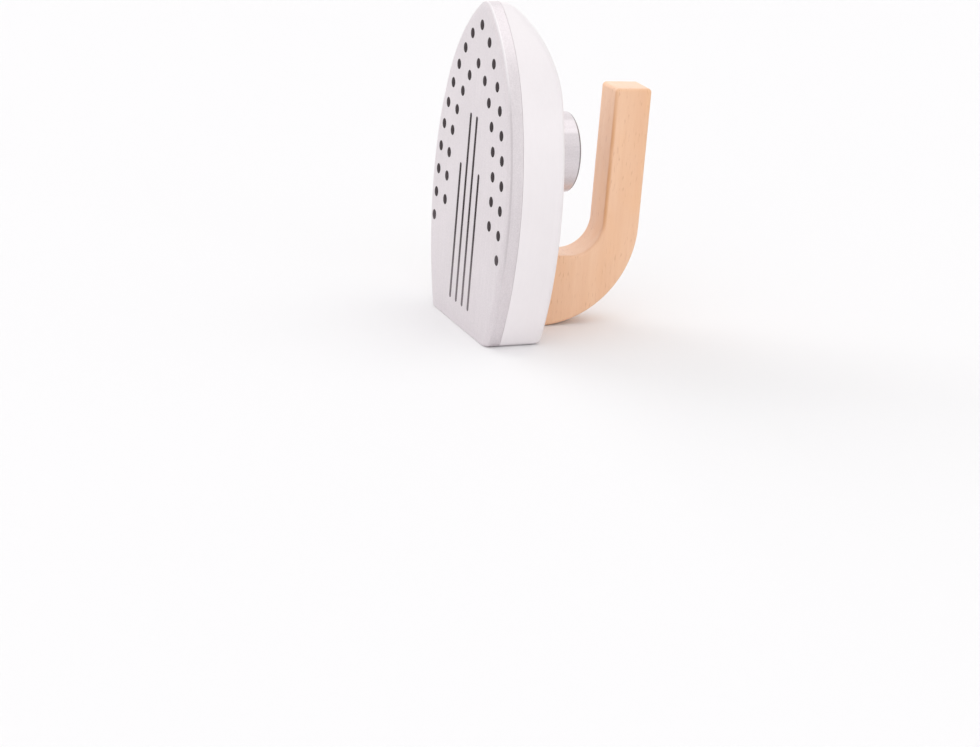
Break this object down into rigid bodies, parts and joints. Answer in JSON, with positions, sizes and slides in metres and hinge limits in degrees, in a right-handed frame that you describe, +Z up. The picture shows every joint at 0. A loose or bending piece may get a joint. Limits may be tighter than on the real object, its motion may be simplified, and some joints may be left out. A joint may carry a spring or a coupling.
{
  "type": "toy iron",
  "caption": "Wooden play iron that stands on its heel, with a silver sole plate, a rounded white body, a hook-shaped handle and a round dial that turns.",
  "frame": {"origin": "middle of the heel, on the plane that the iron stands on", "axes": "+Z up from the heel towards the tip, +Y from the sole side towards the handle, +X to the right for someone who looks at the sole; the sole leans back from the vertical by the slant of the heel"},
  "size_m": [0.105, 0.0917, 0.1598],
  "materials": {
    "silver_paint": "wood under satin silver paint",
    "white_lacquer": "wood under satin white lacquer",
    "beech": "light beech under thin clear varnish",
    "steel": "zinc-plated steel",
    "felt": "pressed grey felt"
  },
  "bodies": {
    "iron": {"soleplate": "silver_paint", "body_block": "white_lacquer", "handle": "beech", "handle_screws": "steel", "sole_dowels": "beech", "dial_felt_washer": "felt"},
    "dial": {"dial_knob": "silver_paint", "dial_axle": "beech", "dial_retaining_washer": "steel", "dial_screw": "steel"}
  },
  "joints": [
    {"name": "dial_turn", "type": "hinge", "parent": "iron", "child": "dial", "pos_m": [0, 0.01781, 0.08582], "axis": [0, 0.9993, -0.0384], "continuous": true}
  ]
}
